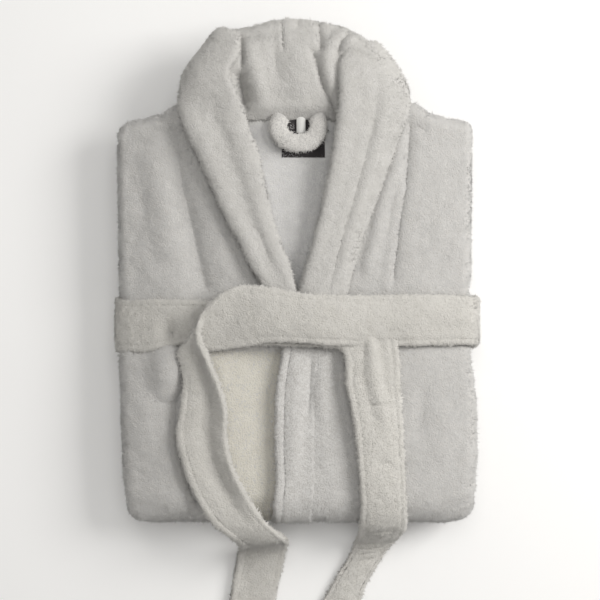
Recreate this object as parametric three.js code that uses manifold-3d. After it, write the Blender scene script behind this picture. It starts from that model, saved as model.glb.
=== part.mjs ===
// A shawl-collar terry bathrobe, folded flat for a shelf and tied with its sash.
//
// The robe lies on its back with the collar towards +Y. Its sides are turned in behind, its sleeves lie
// inside the bundle, and its skirt is folded up behind the body and then in again. Left and right are the
// wearer's, so the left side of the robe is at +X. Sizes are in millimetres, +Z is up, and the origin is
// on the surface that the bundle rests on, under the middle of the sash.
import * as THREE from "three";
import { mergeVertices } from "three/addons/utils/BufferGeometryUtils.js";
import Module from "manifold-3d";

const wasm = await Module();
wasm.setup();

// ---------------------------------------------------------------- driving dimensions
const clear = 0.4; // gap between layers of cloth
const bundle = {
  halfWidth: 180,
  shoulderY: 206,
  foldY: -204, // outside of the fold where the skirt turns under the body
  hemFoldY: 196, // outside of the fold where the hem is turned in
  hemY: -150,
  top: 64,
};
const frontThick = 12;
const backThick = 4.6;
const halfBundle = bundle.top / 2;
const skirtFold = { y: bundle.foldY + halfBundle, z: halfBundle };
const sectionThick = frontThick + clear + backThick; // a front and a back lying together
const hemRadius = sectionThick + 0.5;
const hemFold = { y: bundle.hemFoldY - hemRadius, z: hemRadius };
const backTop = bundle.top - frontThick - clear;

const sleeve = { top: bundle.top - sectionThick - clear, bottom: 2 * hemRadius + clear };
sleeve.thick = (sleeve.top - sleeve.bottom - clear) / 2;
sleeve.from = 22;
sleeve.to = 175;
sleeve.turnY = -156;
sleeve.endY = -50;
const cuffLength = 90;

const collar = { underTop: 69.6, top: 76, rollBottom: 44, centreX: -2 };
const neckY = bundle.shoulderY + 1;
const sash = { width: 54, thick: 5, outside: 188, underRun: 5 };
const sashHalf = sash.width / 2;
const runBottom = bundle.top + clear;
const endBend = 10;
const band = { thick: 3, leftFrom: -24, leftTo: 28, rightFrom: -6, rightTo: 30 };
const pocket = { width: 130, thick: 3.4, from: -112, to: 66, innerX: 34 };
const loop = { x: 1.5, y: 206, halfWidth: 28, drop: 34, bottom: 57, top: 65 };
const hole = { y: 198.5, halfWidth: 12.5, halfHeight: 8.5 };
const label = { x: 6, width: 44, height: 38, thick: 0.8 };

// ---------------------------------------------------------------- helpers
const finishes = {
  terry: { color: 0xe6e3dc, roughness: 0.95, metalness: 0 },
  label: { color: 0x241f20, roughness: 0.6, metalness: 0 },
  tape: { color: 0xf2f1ee, roughness: 0.5, metalness: 0 },
};
const robe = new THREE.Group();

function piece(name, geometry, finish = "terry") {
  const mesh = new THREE.Mesh(geometry, new THREE.MeshStandardMaterial(finishes[finish]));
  mesh.name = name;
  robe.add(mesh);
}

function toSolid(geometry) {
  const bare = geometry.clone();
  bare.deleteAttribute("normal");
  bare.deleteAttribute("uv");
  const merged = mergeVertices(bare, 1e-4);
  return new wasm.Manifold(
    new wasm.Mesh({
      numProp: 3,
      vertProperties: merged.attributes.position.array,
      triVerts: new Uint32Array(merged.index.array),
    }),
  );
}

function toGeometry(solid) {
  const mesh = solid.getMesh();
  const geometry = new THREE.BufferGeometry();
  geometry.setAttribute("position", new THREE.BufferAttribute(mesh.vertProperties, 3));
  geometry.setIndex(new THREE.BufferAttribute(mesh.triVerts, 1));
  geometry.computeVertexNormals();
  return geometry;
}

const toPoints = (pairs) => pairs.map(([a, b]) => new THREE.Vector2(a, b));

// A shape in X and Y raised from one height to another.
function slab(shape, bottom, top) {
  const options = { depth: top - bottom, bevelEnabled: false, curveSegments: 6 };
  return new THREE.ExtrudeGeometry(shape, options).translate(0, 0, bottom);
}

function block(x0, x1, y0, y1, z0, z1) {
  const geometry = new THREE.BoxGeometry(x1 - x0, y1 - y0, z1 - z0);
  return geometry.translate((x0 + x1) / 2, (y0 + y1) / 2, (z0 + z1) / 2);
}

// A closed outline made of smooth curves; the end of each curve is joined straight to the next one.
function smoothOutline(...curves) {
  const shape = new THREE.Shape();
  curves.forEach((curve, i) => {
    const [first, ...rest] = toPoints(curve);
    if (i === 0) shape.moveTo(first.x, first.y);
    else shape.lineTo(first.x, first.y);
    shape.splineThru(rest);
  });
  return shape;
}

// Points of an arc in the Y-Z plane, from one angle to another in degrees, measured from +Y towards +Z.
function arc(centre, radius, from, to, steps) {
  const points = [];
  for (let i = 0; i <= steps; i++) {
    const angle = THREE.MathUtils.degToRad(from + ((to - from) * i) / steps);
    const offset = new THREE.Vector2(Math.cos(angle), Math.sin(angle)).multiplyScalar(radius);
    points.push(offset.add(new THREE.Vector2(centre.y, centre.z)));
  }
  return points;
}

// A sheet of even thickness that follows a path in the Y-Z plane and runs from x0 to x1.
function foldedSheet(path, thickness, x0, x1) {
  const normals = path.map((point, i) => {
    const before = path[Math.max(i - 1, 0)];
    const after = path[Math.min(i + 1, path.length - 1)];
    const along = after.clone().sub(before).normalize();
    return new THREE.Vector2(-along.y, along.x);
  });
  const side = (offset) => path.map((p, i) => p.clone().addScaledVector(normals[i], offset));
  const shape = new THREE.Shape([...side(thickness / 2), ...side(-thickness / 2).reverse()]);
  const geometry = new THREE.ExtrudeGeometry(shape, { depth: x1 - x0, bevelEnabled: false });
  const intoYZ = new THREE.Matrix4().makeBasis(
    new THREE.Vector3(0, 1, 0),
    new THREE.Vector3(0, 0, 1),
    new THREE.Vector3(1, 0, 0),
  );
  return geometry.applyMatrix4(intoYZ).translate(x0, 0, 0);
}

// ---------------------------------------------------------------- body: back, fronts, bands, pockets
// The body's panels run from the shoulder down the front of the bundle, round the skirt fold, up behind,
// round the hem fold and down to the hem. The depth is measured in from the bundle's outer face. Where
// the sash passes underneath, an outer layer is pressed in by it.
const underSash = toPoints([
  [-sashHalf - 12, 0],
  [-sashHalf - 4, 1],
  [sashHalf + 4, 1],
  [sashHalf + 12, 0],
]);

function bodyPath(depth, startY, pressedIn = 0) {
  const pressed = underSash.map((p) => new THREE.Vector2(p.x, depth + p.y * pressedIn));
  return [
    new THREE.Vector2(startY, bundle.top - depth),
    ...arc(skirtFold, halfBundle - depth, 90, 270, 12),
    ...(pressedIn > 0 ? pressed : []),
    ...arc(hemFold, hemRadius - depth, -90, 90, 8),
    new THREE.Vector2(bundle.hemY, 2 * hemRadius - depth),
  ];
}

// The bundle seen from above, with small corners at the shoulders and larger ones at the skirt fold.
function bundlePlan() {
  const w = bundle.halfWidth;
  const shoulder = 18;
  const skirt = 38;
  const corners = [
    [-w + shoulder, bundle.shoulderY - shoulder, shoulder, 90],
    [-w + skirt, bundle.foldY + skirt, skirt, 180],
    [w - skirt, bundle.foldY + skirt, skirt, 270],
    [w - shoulder, bundle.shoulderY - shoulder, shoulder, 0],
  ];
  const shape = new THREE.Shape();
  shape.moveTo(-w + shoulder, bundle.shoulderY);
  for (const [x, y, radius, from] of corners) {
    const start = THREE.MathUtils.degToRad(from);
    shape.absarc(x, y, radius, start, start + Math.PI / 2, false);
  }
  return toSolid(slab(shape, -1, bundle.top + 1));
}

const neckline = smoothOutline(
  [[-52, 210], [-46, 190], [-42, 141], [-32, 95], [-7, 57], [4, 26]],
  [[8, 26], [16, 49], [27, 98], [36, 147], [42, 210]],
);
const plan = bundlePlan();
const neckCut = toSolid(slab(neckline, backTop - 1, bundle.top + 1));
const pressDepth = sash.underRun + clear;
const sashGroove = toSolid(block(-200, 200, -sashHalf - 3, sashHalf + 3, -1, pressDepth));

function leftBand(grow = 0) {
  const path = bodyPath(band.thick / 2, -sashHalf - 1 + grow, pressDepth);
  return foldedSheet(path, band.thick + 2 * grow, band.leftFrom - grow, band.leftTo + grow);
}

function rightBand(grow = 0) {
  const path = bodyPath(frontThick - band.thick / 2, grow, 0);
  return foldedSheet(path, band.thick + 2 * grow, band.rightFrom - grow, band.rightTo + grow);
}

function pocketSheet(sign, grow = 0) {
  const depth = pocket.thick / 2;
  const path = [
    new THREE.Vector2(pocket.from - grow, depth),
    ...underSash.map((p) => new THREE.Vector2(p.x, depth + p.y * pressDepth)),
    new THREE.Vector2(pocket.to + grow, depth),
  ];
  const x0 = sign > 0 ? pocket.innerX : -pocket.innerX - pocket.width;
  return foldedSheet(path, pocket.thick + 2 * grow, x0 - grow, x0 + pocket.width + grow);
}

function frontPanel(sign) {
  const x0 = sign > 0 ? 1 : -bundle.halfWidth;
  const path = bodyPath(frontThick / 2, bundle.shoulderY);
  const sheet = toSolid(foldedSheet(path, frontThick, x0, x0 + bundle.halfWidth - 1));
  const cuts = [neckCut, sashGroove, ...[leftBand, rightBand].map((make) => toSolid(make(clear)))];
  cuts.push(toSolid(pocketSheet(sign, clear)));
  return toGeometry(cuts.reduce((solid, cut) => solid.subtract(cut), sheet.intersect(plan)));
}

const backPath = bodyPath(frontThick + clear + backThick / 2, bundle.shoulderY);
const backHalf = bundle.halfWidth - 3;
const backSheet = toSolid(foldedSheet(backPath, backThick, -backHalf, backHalf));
piece("back_panel", toGeometry(backSheet.intersect(plan)));
piece("left_front_panel", frontPanel(1));
piece("right_front_panel", frontPanel(-1));
piece("left_front_band", leftBand());
piece("right_front_band", rightBand());
piece("left_pocket", pocketSheet(1));
piece("right_pocket", pocketSheet(-1));

// ---------------------------------------------------------------- sleeves and cuffs
// Each sleeve runs down inside the body, turns back near the skirt fold and ends in its cuff.
const upperLayer = sleeve.top - sleeve.thick / 2;
const lowerLayer = sleeve.bottom + sleeve.thick / 2;
const sleeveTurn = { y: sleeve.turnY, z: (upperLayer + lowerLayer) / 2 };
const sleevePath = [
  new THREE.Vector2(190, upperLayer),
  ...arc(sleeveTurn, (upperLayer - lowerLayer) / 2, 90, 270, 6),
  new THREE.Vector2(sleeve.endY, lowerLayer),
];
for (const [side, sign] of [["left", 1], ["right", -1]]) {
  const [x0, x1] = sign > 0 ? [sleeve.from, sleeve.to] : [-sleeve.to, -sleeve.from];
  const cuffY = sleeve.endY + clear;
  const cuffTop = sleeve.bottom + sleeve.thick;
  piece(`${side}_sleeve`, foldedSheet(sleevePath, sleeve.thick, x0, x1));
  piece(`${side}_cuff`, block(x0 + 6, x1 - 6, cuffY, cuffY + cuffLength, sleeve.bottom, cuffTop));
}

// ---------------------------------------------------------------- shawl collar
// Each half runs from the middle of the back of the neck over the shoulder and down the front to the
// sash. It has two layers: the under collar lies on the front and the upper collar is the one that shows.
function collarOutline(side, inset) {
  const gap = clear / 2;
  if (side === "right") {
    const x = collar.centreX - gap;
    return smoothOutline(
      [[x, 306 - inset], [-52, 294 - inset], [-92 + inset, 266], [-117 + inset, 225],
       [-102 + inset, 175], [-67 + inset, 102], [-29 + inset, 31], [-12 + inset, 2]],
      [[-3, 2], [-1, 28], [-11, 57], [-36, 95], [-46, 141], [-50, 190], [-54, neckY + 6]],
      [[-40, neckY + 4], [-20, neckY], [x, neckY]],
    );
  }
  const x = collar.centreX + gap;
  return smoothOutline(
    [[x, neckY], [25, neckY], [43, neckY + 4]],
    [[43, neckY], [36, 180], [27, 117], [14, 49], [7, 28], [1, 2], [-14, -sashHalf]],
    [[51, -sashHalf], [49, 29], [68, 103], [89, 158], [108, 206], [113, 225], [92, 263],
     [50, 297 - inset], [x, 306 - inset]],
  );
}

// Behind the neck the under collar is deeper, where it rolls down over the shoulder seam.
const bodySpace = toSolid(block(-200, 200, -300, neckY - clear, 0, bundle.top + clear));
for (const side of ["left", "right"]) {
  const under = slab(collarOutline(side, 3), collar.rollBottom, collar.underTop);
  const upper = slab(collarOutline(side, 0), collar.underTop + clear, collar.top);
  piece(`${side}_under_collar`, toGeometry(toSolid(under).subtract(bodySpace)));
  piece(`${side}_upper_collar`, upper);
}

// ---------------------------------------------------------------- sash
// The band goes once round the bundle. Its two ends come out from under it, run down the front and over
// the skirt fold, and lie out along the surface.
const ringOutside = [[sash.outside, 0], [sash.outside, 69], [176, 74], [110, 83]];
const ringInside = [[sash.outside - sash.thick, sash.underRun], [183, 65], [174, 68.5], [109, 77.5]];
const bothSides = (corners) => toPoints([...corners, ...corners.map(([x, z]) => [-x, z]).reverse()]);
const ring = new THREE.Shape(bothSides(ringOutside));
ring.holes.push(new THREE.Shape(bothSides(ringInside)));
const bandGeometry = new THREE.ExtrudeGeometry(ring, { depth: sash.width, bevelEnabled: false });
piece("sash_band", bandGeometry.rotateX(Math.PI / 2).translate(0, sashHalf, 0));

// The path of an end: along the front, over the fold, then (for the free part) down and outwards.
const overFold = halfBundle + clear + sash.thick / 2;
const leaveY = skirtFold.y - overFold;
const runPath = [
  new THREE.Vector2(-sashHalf - 2, bundle.top + clear + sash.thick / 2),
  ...toPoints([[-75, 0], [-120, 0]]).map((p) => p.setY(bundle.top + clear + sash.thick / 2)),
  ...arc(skirtFold, overFold, 90, 180, 8),
];
const endPath = (reach) => [
  new THREE.Vector2(leaveY, skirtFold.z - clear),
  ...arc({ y: leaveY - endBend, z: sash.thick / 2 + endBend }, endBend, 0, -90, 4),
  new THREE.Vector2(-300, sash.thick / 2),
  new THREE.Vector2(reach, sash.thick / 2),
];

// Slides each part of a strip sideways, by the drift given for a few stations along Y.
function drifted(geometry, stations) {
  const position = geometry.attributes.position;
  for (let i = 0; i < position.count; i++) {
    const y = position.getY(i);
    const next = Math.max(1, stations.findIndex(([at]) => at <= y));
    const [y0, x0] = stations[next - 1];
    const [y1, x1] = stations[next];
    position.setX(i, position.getX(i) + x0 + ((x1 - x0) * (y - y0)) / (y1 - y0));
  }
  geometry.computeVertexNormals();
  return geometry;
}

const sashEnds = [
  { side: "right", reach: -372, drift: [[0, -108], [-75, -102], [-172, -80], [-222, -36], [-400, -64]] },
  { side: "left", reach: -377, drift: [[0, 74], [-120, 81], [-222, 86], [-400, 10]] },
];
for (const { side, reach, drift } of sashEnds) {
  const half = sash.width / 2 - 2;
  piece(`${side}_sash_run`, drifted(foldedSheet(runPath, sash.thick, -half, half), drift));
  piece(`${side}_sash_end`, drifted(foldedSheet(endPath(reach), sash.thick, -half, half), drift));
}

// Loops on the side seams that carry the sash in wear. They are turned in with the sides.
for (const [side, x] of [["left", 58], ["right", -58]]) {
  piece(`${side}_belt_carrier`, block(x - 5, x + 5, -170, -167, 19, 31));
}

// ---------------------------------------------------------------- neck: hanger loop and labels
// The loop is a tube of terry sewn into the neck seam by both ends, with a hole for a hook.
const loopShape = new THREE.Shape();
loopShape.absellipse(loop.x, loop.y, loop.halfWidth, loop.drop, Math.PI, Math.PI * 2, false, 0);
const holePath = new THREE.Path();
holePath.absellipse(loop.x, hole.y - 2, hole.halfWidth, hole.halfHeight, 0, Math.PI * 2, false, 0);
loopShape.holes.push(holePath);
piece("hanger_loop", slab(loopShape, loop.bottom, loop.top));

const inside = backTop + clear;
const labelTop = loop.y - 2;
const labelSides = [label.x - label.width / 2, label.x + label.width / 2];
piece("neck_label", block(...labelSides, labelTop - label.height, labelTop, inside, inside + 0.8), "label");
piece("size_tab", block(0, 9, labelTop - 13, labelTop, inside + 1.2, inside + 2), "tape");
piece("care_label", block(-15, 15, -60, -10, sleeve.bottom, sleeve.bottom + 0.8), "tape");

export default robe;
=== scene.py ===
"""A folded terry bathrobe tied with its sash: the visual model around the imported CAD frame.

Shapes are worked out in millimetres in the part's own frame (+Z up out of the robe's front, +Y towards
the collar, +X towards the wearer's left) and turned into metres when a mesh is made.
"""

import math

import bpy
import numpy as np
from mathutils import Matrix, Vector


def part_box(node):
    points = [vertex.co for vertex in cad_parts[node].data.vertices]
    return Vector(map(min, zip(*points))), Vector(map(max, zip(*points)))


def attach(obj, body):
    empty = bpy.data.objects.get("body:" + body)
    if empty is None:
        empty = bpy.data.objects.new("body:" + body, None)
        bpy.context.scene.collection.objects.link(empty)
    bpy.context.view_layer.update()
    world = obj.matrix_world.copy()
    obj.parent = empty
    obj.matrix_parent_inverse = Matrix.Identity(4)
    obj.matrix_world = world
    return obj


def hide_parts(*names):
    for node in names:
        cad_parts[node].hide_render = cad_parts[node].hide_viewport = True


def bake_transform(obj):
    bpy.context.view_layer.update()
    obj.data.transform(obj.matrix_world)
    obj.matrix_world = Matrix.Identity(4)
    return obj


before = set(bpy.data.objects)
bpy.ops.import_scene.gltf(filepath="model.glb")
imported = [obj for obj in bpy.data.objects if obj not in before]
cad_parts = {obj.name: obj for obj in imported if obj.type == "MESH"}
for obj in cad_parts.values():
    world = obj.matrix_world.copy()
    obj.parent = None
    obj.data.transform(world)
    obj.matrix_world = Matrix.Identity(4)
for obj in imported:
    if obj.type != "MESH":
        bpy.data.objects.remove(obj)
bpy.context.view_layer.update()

MM = 0.001
TOP = 64.0  # outer face of the bundle's front
SHOULDER_Y = 206.0  # where the straight part of the front ends
FOLD_R = 32.0  # outside radius of the skirt fold
FOLD_Y = -172.0  # its centre
HEM_R = 17.5  # outside radius of the hem fold, underneath
HEM_Y = 178.5  # its centre
HEM_TUCK = 40.0  # how far the hem runs back inside the bundle


# ---- numbers
def smooth(x):
    """0 below 0, 1 above 1, and an even S between."""
    x = np.clip(x, 0.0, 1.0)
    return x * x * (3 - 2 * x)


def lattice(i, j, k, seed):
    """A fixed random value from -1 to 1 for each whole-numbered point."""
    h = (i * 374761393 + j * 668265263 + k * 1442695041 + seed * 1274126177) & 0xFFFFFFFF
    h = ((h ^ (h >> 13)) * 1103515245) & 0xFFFFFFFF
    h = ((h ^ (h >> 15)) * 747796405) & 0xFFFFFFFF
    return ((h ^ (h >> 16)) & 0xFFFF) / 32767.5 - 1.0


def noise3(p, size, seed):
    """Smooth noise from -1 to 1 at points p, with lumps about as big as size."""
    q = p / size
    cell = np.floor(q).astype(np.int64)
    f = smooth(q - cell)
    total = np.zeros(len(p))
    for corner in np.ndindex(2, 2, 2):
        weight = np.prod(np.where(corner, f, 1 - f), axis=1)
        total += weight * lattice(*(cell + corner).T, seed)
    return total


def spline(points, t):
    """A Catmull-Rom curve through the points, at t from 0 to 1."""
    p = np.asarray(points, float)
    n = len(p) - 1
    ext = np.vstack([2 * p[0] - p[1], p, 2 * p[-1] - p[-2]])
    x = np.clip(np.asarray(t, float), 0, 1) * n
    i = np.minimum(x.astype(int), n - 1)
    f = (x - i)[:, None]
    a, b, c, d = ext[i], ext[i + 1], ext[i + 2], ext[i + 3]
    return 0.5 * (2 * b + (c - a) * f + (2 * a - 5 * b + 4 * c - d) * f**2 + (3 * b - a - 3 * c + d) * f**3)


def even_steps(points, step):
    """Values of t that walk the curve through the points in even steps, and its length."""
    t = np.linspace(0, 1, 60 * len(points))
    p = spline(points, t)
    run = np.concatenate([[0], np.cumsum(np.linalg.norm(np.diff(p, axis=0), axis=1))])
    count = max(4, int(run[-1] / step))
    return np.interp(np.linspace(0, run[-1], count), run, t), run[-1]


def table(x, knots):
    """Piecewise smooth value of a list of (x, value) pairs."""
    kx, kv = np.array(knots, float).T
    i = np.clip(np.searchsorted(kx, x) - 1, 0, len(kx) - 2)
    return kv[i] + (kv[i + 1] - kv[i]) * smooth((x - kx[i]) / (kx[i + 1] - kx[i]))


def near(x, y, points):
    """Distance to a smooth curve in X and Y (signed: positive on its left), and how far along it is."""
    t = np.linspace(0, 1, 8 * len(points))
    c = spline(points, t)
    best = np.full(x.shape, 1e9)
    sign = np.ones(x.shape)
    along = np.zeros(x.shape)
    for k in range(len(c) - 1):
        ax, ay = c[k]
        dx, dy = c[k + 1] - c[k]
        length2 = dx * dx + dy * dy + 1e-9
        f = np.clip(((x - ax) * dx + (y - ay) * dy) / length2, 0, 1)
        ex, ey = x - ax - f * dx, y - ay - f * dy
        dist = ex * ex + ey * ey
        closer = dist < best
        best = np.where(closer, dist, best)
        sign = np.where(closer, np.sign(dx * ey - dy * ex), sign)
        along = np.where(closer, (k + f) / (len(c) - 1), along)
    return np.sqrt(best) * sign, along


def creases(x, y, folds):
    """Height that a list of folds adds at x, y. A fold is (height, width on its left, width on its right,
    fade at its ends, points). A negative height is a valley."""
    total = np.zeros(np.shape(x))
    for height, left, right, fade, points in folds:
        d, along = near(x, y, points)
        width = np.where(d > 0, left, right)
        ends = smooth(along / fade) * smooth((1 - along) / fade) if fade else 1.0
        total += height * np.exp(-((d / width) ** 2)) * ends
    return total


def mound(x, y, cx, cy, rx, ry, height):
    """A round bump of this height at (cx, cy), about rx and ry wide."""
    return height * np.exp(-(((x - cx) / rx) ** 2 + ((y - cy) / ry) ** 2))


# ---- meshes
def rounded(length, radius, step, rim=4, last_radius=None):
    """Stations from 0 to length, and how full the thickness is at each, for edges rounded to radius."""
    last_radius = last_radius or radius
    turn = np.linspace(0, math.pi / 2, rim + 1)[:-1]
    edge = radius * (1 - np.cos(turn))
    last = length - last_radius * (1 - np.cos(turn))
    middle = length - radius - last_radius
    inner = np.linspace(radius, length - last_radius, max(3, int(middle / step)))
    stations = np.concatenate([edge, inner, last[::-1]])
    full = np.concatenate([np.sin(turn), np.ones(len(inner)), np.sin(turn)[::-1]])
    return stations, full


def unit(vectors):
    """The vectors along the last axis, made 1 long."""
    return vectors / (np.linalg.norm(vectors, axis=-1, keepdims=True) + 1e-9)


def grid_normals(m):
    """Normals of a grid of points (rows, columns, 3)."""
    return unit(np.cross(np.gradient(m, axis=1), np.gradient(m, axis=0)))


def make_mesh(name, verts, faces):
    """An object of these faces, all with the same number of corners. Nothing goes below the floor."""
    mesh = bpy.data.meshes.new(name)
    flat = np.asarray(faces, np.int32)
    corners = flat.shape[1]
    verts[:, 2] = np.maximum(verts[:, 2], 0.0)
    mesh.vertices.add(len(verts))
    mesh.vertices.foreach_set("co", (verts * MM).astype(np.float32).ravel())
    mesh.loops.add(flat.size)
    mesh.loops.foreach_set("vertex_index", flat.ravel())
    mesh.polygons.add(len(flat))
    mesh.polygons.foreach_set("loop_start", np.arange(0, flat.size, corners, dtype=np.int32))
    mesh.polygons.foreach_set("use_smooth", np.full(len(flat), True))
    mesh.update(calc_edges=True)
    obj = bpy.data.objects.new(name, mesh)
    bpy.context.scene.collection.objects.link(obj)
    return obj


def vertex_normals(verts, quads):
    """Normals of the points of a mesh with four-cornered faces."""
    a, b, c, d = (verts[quads[:, k]] for k in range(4))
    face = np.cross(c - a, d - b)
    out = np.zeros_like(verts)
    for k in range(4):
        np.add.at(out, quads[:, k], face)
    return unit(out)


def grid_quads(index):
    """The four-cornered faces between the neighbours of a grid of vertex numbers."""
    a, b, c, d = index[:-1, :-1], index[:-1, 1:], index[1:, 1:], index[1:, :-1]
    return np.stack([a, b, c, d], axis=-1).reshape(-1, 4)


def shell(m, half, flip=False):
    """Closed skin around the middle surface m (rows, columns, 3). half is half the thickness there, and is
    0 along the rim, where the upper and the lower face meet. flip lists the lower face first."""
    rows, cols = m.shape[:2]
    n = -grid_normals(m) if flip else grid_normals(m)
    upper = m + n * half[..., None]
    lower = m - n * half[..., None]
    top = np.arange(rows * cols).reshape(rows, cols)
    under = top.copy()
    inner = lower[1:-1, 1:-1].reshape(-1, 3)
    under[1:-1, 1:-1] = rows * cols + np.arange(len(inner)).reshape(rows - 2, cols - 2)
    verts = np.vstack([upper.reshape(-1, 3), inner])
    faces = np.vstack([grid_quads(top), grid_quads(under)[:, ::-1]])
    return verts, faces[:, ::-1] if flip else faces


PLUSH = ((0.5, 26), (0.35, 9), (0.3, 3.6), (0.3, 2.2))  # (height, size) of its lumps


def plush(verts, quads, amount, seed, calm=1.0):
    """Pushes the skin in and out like deep pile: lumps, tufts and a fine nap."""
    push = sum(height * noise3(verts, size, seed + k) for k, (height, size) in enumerate(PLUSH))
    return verts + vertex_normals(verts, quads) * (push * calm * amount)[:, None]


def cloth(name, m, half, amount, seed, calm=None, flip=False, warm=None):
    """A sheet of terry around a middle surface. calm and warm are functions of its points: how much of the
    lumpiness is left there, and how creamy it is."""
    verts, faces = shell(m, half, flip)
    verts = plush(verts, faces, amount, seed, 1.0 if calm is None else calm(verts))
    obj = make_mesh(name, verts, faces)
    if warm is not None:
        tint = obj.data.attributes.new("warm", "FLOAT", "POINT")
        tint.data.foreach_set("value", warm(verts).astype(np.float32))
    return obj


def slab_grid(x0, x1, y0, y1, radius, step, rim=4):
    """Points that cover a rectangle, close together along its rim, and half the thickness at each."""
    u, full_u = rounded(x1 - x0, radius, step, rim)
    t, full_t = rounded(y1 - y0, radius, step, rim)
    x, y = np.meshgrid(x0 + u, y0 + t)
    return x, y, radius * full_t[:, None] * full_u[None, :]


def closed_ends(rows, steps):
    """1 along a strip of this many rows, falling to 0 at both ends like a rounded edge."""
    full = np.ones(rows)
    turn = np.sin(np.linspace(0, math.pi / 2, steps + 1)[:-1])
    full[:steps] = turn
    full[-steps:] = turn[::-1]
    return full


def ribbon(rows, thick, step, crown=None, rim=4):
    """The middle surface and half thickness of a strip between two edge curves. A row is a point on one edge
    and the point across from it: (x, y, z, x, y, z). crown(t, u) raises the strip along its normal, at t
    along it and u across it."""
    rows = np.array(rows, float)
    a, b = rows[:, :3], rows[:, 3:]
    t, length = even_steps((a + b) / 2, step)
    radius = thick / 2
    s, full_t = rounded(length, radius, step, rim)
    t = np.interp(s, np.linspace(0, length, len(t)), t)
    pa, pb = spline(a, t), spline(b, t)
    width = np.mean(np.linalg.norm(pa - pb, axis=1))
    u, full_u = rounded(width, radius, step, rim)
    u = u / width
    m = pa[:, None] * (1 - u)[None, :, None] + pb[:, None] * u[None, :, None]
    if crown is not None:
        tt, uu = np.meshgrid(t, u, indexing="ij")
        m = m + grid_normals(m) * crown(tt, uu)[..., None]
    return m, radius * full_t[:, None] * full_u[None, :]


# ---- materials
def node(tree, kind, **values):
    """A new shader node. A value goes to the input of that name, or else to the property."""
    n = tree.nodes.new(kind)
    for key, value in values.items():
        if key in n.inputs:
            n.inputs[key].default_value = value
        else:
            setattr(n, key, value)
    return n


def new_material(name, rough, specular, sheen, sheen_rough):
    """A material and its Principled shader."""
    mat = bpy.data.materials.new(name)
    mat.use_nodes = True
    bsdf = mat.node_tree.nodes["Principled BSDF"]
    bsdf.inputs["Roughness"].default_value = rough
    bsdf.inputs["Specular IOR Level"].default_value = specular
    bsdf.inputs["Sheen Weight"].default_value = sheen
    bsdf.inputs["Sheen Roughness"].default_value = sheen_rough
    return mat, bsdf


def tone_ramp(tree, factor, dark, light, start=0.0, end=1.0):
    """The colour between dark and light for a factor between start and end."""
    ramp = node(tree, "ShaderNodeValToRGB")
    low, high = ramp.color_ramp.elements
    low.position, high.position = start, end
    low.color, high.color = (*dark, 1), (*light, 1)
    tree.links.new(factor, ramp.inputs["Fac"])
    return ramp.outputs["Color"]


CREAM = (1.14, 1.12, 1.035, 1)  # what the colour is multiplied by where a piece is creamy
MIX_FACTOR, MIX_A, MIX_B, MIX_RESULT = 0, 6, 7, 2  # the sockets of a Mix node that mixes colours


def terry(name, light, dark, pile=1.0):
    """Cotton plush: a fine looped pile in the bump, blotches of light and dark nap, and a soft sheen."""
    mat, bsdf = new_material(name, 0.95, 0.15, 0.35, 0.45)
    tree = mat.node_tree
    coord = node(tree, "ShaderNodeTexCoord")
    link = tree.links.new

    def noise(scale, detail):
        n = node(tree, "ShaderNodeTexNoise", Scale=scale, Detail=detail, Roughness=0.6)
        link(coord.outputs["Object"], n.inputs["Vector"])
        return n

    blotch = noise(90, 4)
    brushed = noise(240, 3)
    add = node(tree, "ShaderNodeMath", operation="MULTIPLY_ADD")
    add.inputs[1].default_value = 0.45
    link(brushed.outputs["Fac"], add.inputs[0])
    link(blotch.outputs["Fac"], add.inputs[2])
    warm = node(tree, "ShaderNodeAttribute", attribute_name="warm")
    cream = node(tree, "ShaderNodeMix", data_type="RGBA", blend_type="MULTIPLY")
    cream.inputs[MIX_B].default_value = CREAM
    link(warm.outputs["Fac"], cream.inputs[MIX_FACTOR])
    link(tone_ramp(tree, add.outputs[0], dark, light, 0.5, 0.95), cream.inputs[MIX_A])
    link(cream.outputs[MIX_RESULT], bsdf.inputs["Base Color"])
    tufts = node(tree, "ShaderNodeTexVoronoi", Scale=620.0, Randomness=1.0)
    link(coord.outputs["Object"], tufts.inputs["Vector"])
    fine = noise(900, 2)
    height = node(tree, "ShaderNodeMath", operation="SUBTRACT")
    link(fine.outputs["Fac"], height.inputs[0])
    link(tufts.outputs["Distance"], height.inputs[1])
    bump = node(tree, "ShaderNodeBump", Strength=0.55 * pile, Distance=0.0012)
    link(height.outputs[0], bump.inputs["Height"])
    link(bump.outputs["Normal"], bsdf.inputs["Normal"])
    return mat


def ribbon_weave(name, color, pitch):
    """A narrow woven tape: crossing threads in the bump and a faint thread-by-thread change of tone."""
    mat, bsdf = new_material(name, 0.5, 0.5, 0.2, 0.5)
    tree = mat.node_tree
    link = tree.links.new
    coord = node(tree, "ShaderNodeTexCoord")
    add = node(tree, "ShaderNodeMath", operation="ADD")
    for socket, direction in zip(add.inputs, ("X", "Y")):
        wave = node(tree, "ShaderNodeTexWave", bands_direction=direction, Scale=pitch, Distortion=0.4)
        link(coord.outputs["Object"], wave.inputs["Vector"])
        link(wave.outputs["Fac"], socket)
    link(tone_ramp(tree, add.outputs[0], [c * 0.8 for c in color], color), bsdf.inputs["Base Color"])
    bump = node(tree, "ShaderNodeBump", Strength=0.4, Distance=0.0002)
    link(add.outputs[0], bump.inputs["Height"])
    link(bump.outputs["Normal"], bsdf.inputs["Normal"])
    return mat


def pile_yarn(name, color):
    """Loose cotton yarn of the pile: matt, with a soft sheen along the fibres."""
    mat, bsdf = new_material(name, 1.0, 0.1, 0.3, 0.5)
    bsdf.inputs["Base Color"].default_value = (*color, 1)
    return mat


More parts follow.
